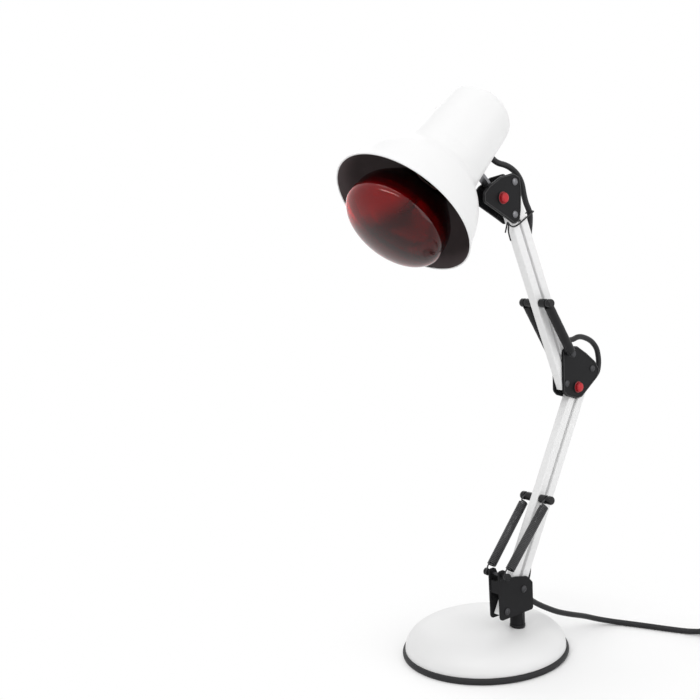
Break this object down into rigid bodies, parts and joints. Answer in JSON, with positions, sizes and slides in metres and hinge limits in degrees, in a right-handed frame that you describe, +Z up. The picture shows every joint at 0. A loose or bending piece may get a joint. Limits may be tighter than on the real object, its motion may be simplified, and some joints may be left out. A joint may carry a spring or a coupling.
{
  "type": "infrared heat therapy lamp",
  "caption": "Table infrared lamp: ruby reflector bulb in a white bell shade on a spring-balanced parallelogram arm that swivels on a weighted round base, with mains lead, switch and plug.",
  "frame": {"origin": "centre of the flat underside of the round base, on the table", "axes": "+Z up; the arm's plane is parallel to XZ and the shade points towards -X, the elbow towards +X"},
  "size_m": [0.4016, 0.4014, 0.5787],
  "materials": {
    "paint_white": "satin white enamel",
    "shade_enamel": "satin white enamel outside, dark grey inside",
    "weight_iron": "rough cast",
    "foam_pad": "closed-cell foam",
    "trim_rubber": "matte",
    "plastic_black": "fine moulded grain",
    "plastic_cap": "smooth",
    "cap_red": "smooth, dished",
    "pin_steel": "zinc plated",
    "spring_steel": "oil blackened",
    "strap_steel": "dark zinc plated",
    "lead_pvc": "satin PVC",
    "sleeve_pvc": "satin PVC",
    "tie_wire": "plastic coated wire",
    "ceramic": "glazed ceramic",
    "brass_contact": "plain",
    "ruby_glass": "deep ruby, polished",
    "reflector": "vapour-deposited silvering",
    "cap_metal": "rolled thread",
    "filament": "glass stem with wires"
  },
  "bodies": {
    "base": {"base_cover": "paint_white", "base_weight": "weight_iron", "base_pad": "foam_pad", "trim_ring": "trim_rubber", "socket_bush": "plastic_black", "bush_nut": "pin_steel", "cord_lamp": "lead_pvc", "switch_body": "plastic_black", "cord_coil": "lead_pvc", "cord_plug": "lead_pvc", "plug": "plastic_black"},
    "bracket": {"swivel_bracket": "plastic_black", "swivel_spigot": "pin_steel", "bracket_pins": "pin_steel", "spring_anchor_pin": "pin_steel", "anchor_caps": "plastic_cap", "cord_clamp": "plastic_black", "bracket_lead": "lead_pvc"},
    "lower_rear": {"lower_rear_tube": "paint_white", "lower_rear_lead": "lead_pvc"},
    "lower_front": {"lower_front_tube": "paint_white", "lower_spring_pin": "pin_steel", "lower_pin_caps": "plastic_cap", "lower_spring_near": "spring_steel", "lower_spring_far": "spring_steel"},
    "elbow": {"elbow_plate_near": "plastic_black", "elbow_plate_far": "plastic_black", "elbow_pins": "pin_steel", "elbow_anchor_pin": "pin_steel", "elbow_bolt": "pin_steel", "elbow_bolt_cap": "cap_red", "elbow_lead_lower": "lead_pvc", "elbow_lead_upper": "lead_pvc"},
    "upper_rear": {"upper_rear_tube": "paint_white", "upper_rear_lead": "lead_pvc", "lead_tie": "tie_wire"},
    "upper_front": {"upper_front_tube": "paint_white", "upper_spring_pin": "pin_steel", "upper_pin_caps": "plastic_cap", "spring_sleeves": "sleeve_pvc", "upper_springs": "spring_steel"},
    "head_joint": {"head_plate_near": "plastic_black", "head_plate_far": "plastic_black", "head_pins": "pin_steel", "tilt_bolt": "pin_steel", "tilt_bolt_cap": "cap_red", "head_lead_lower": "lead_pvc", "head_lead_upper": "lead_pvc"},
    "head": {"shade": "shade_enamel", "shade_strap": "strap_steel", "strap_screws": "pin_steel", "lead_gland": "plastic_black", "holder_lead": "lead_pvc", "lamp_holder": "ceramic", "holder_contacts": "brass_contact", "bulb_glass": "ruby_glass", "bulb_reflector": "reflector", "bulb_cap": "cap_metal", "bulb_filament": "filament"},
    "rocker": {"switch_rocker": "cap_red"}
  },
  "joints": [
    {"name": "swivel", "type": "hinge", "parent": "base", "child": "bracket", "pos_m": [0.00832, -0.03913, 0.05], "axis": [0, 0, 1], "range_deg": [-135, 135], "deforming": ["cord_lamp"]},
    {"name": "lower_arm", "type": "hinge", "parent": "bracket", "child": "lower_rear", "pos_m": [0.01082, -0.03913, 0.075], "axis": [0, 1, 0], "range_deg": [-26, 7], "deforming": ["bracket_lead"]},
    {"name": "lower_front", "type": "hinge", "parent": "bracket", "child": "lower_front", "pos_m": [-0.01468, -0.03913, 0.058], "axis": [0, 1, 0], "range_deg": [-26, 7], "deforming": ["lower_spring_near", "lower_spring_far"]},
    {"name": "elbow", "type": "hinge", "parent": "lower_rear", "child": "elbow", "pos_m": [0.13008, -0.03913, 0.29016], "axis": [0, 1, 0], "range_deg": [-7, 26], "deforming": ["elbow_lead_lower"]},
    {"name": "upper_arm", "type": "hinge", "parent": "elbow", "child": "upper_rear", "pos_m": [0.08758, -0.03913, 0.31096], "axis": [0, 1, 0], "range_deg": [-75, 2], "deforming": ["elbow_lead_upper"]},
    {"name": "upper_front", "type": "hinge", "parent": "elbow", "child": "upper_front", "pos_m": [0.08678, -0.03913, 0.27896], "axis": [0, 1, 0], "range_deg": [-75, 2], "deforming": ["spring_sleeves", "upper_springs"]},
    {"name": "head_joint", "type": "hinge", "parent": "upper_rear", "child": "head_joint", "pos_m": [0.01341, -0.03913, 0.48914], "axis": [0, 1, 0], "range_deg": [-2, 75], "deforming": ["head_lead_lower"]},
    {"name": "head_tilt", "type": "hinge", "parent": "head_joint", "child": "head", "pos_m": [-0.00469, -0.03913, 0.47334], "axis": [0, 1, 0], "range_deg": [-45, 45], "deforming": ["head_lead_upper"]},
    {"name": "rocker", "type": "hinge", "parent": "base", "child": "rocker", "pos_m": [0.19871, -0.1962, 0.013], "axis": [0.9336, 0.3584, 0], "range_deg": [-14, 0]}
  ],
  "couplings": [
    {"joint": "lower_front", "follows": "lower_arm", "ratio": 1},
    {"joint": "elbow", "follows": "lower_arm", "ratio": -1},
    {"joint": "upper_front", "follows": "upper_arm", "ratio": 1},
    {"joint": "head_joint", "follows": "upper_arm", "ratio": -1}
  ]
}
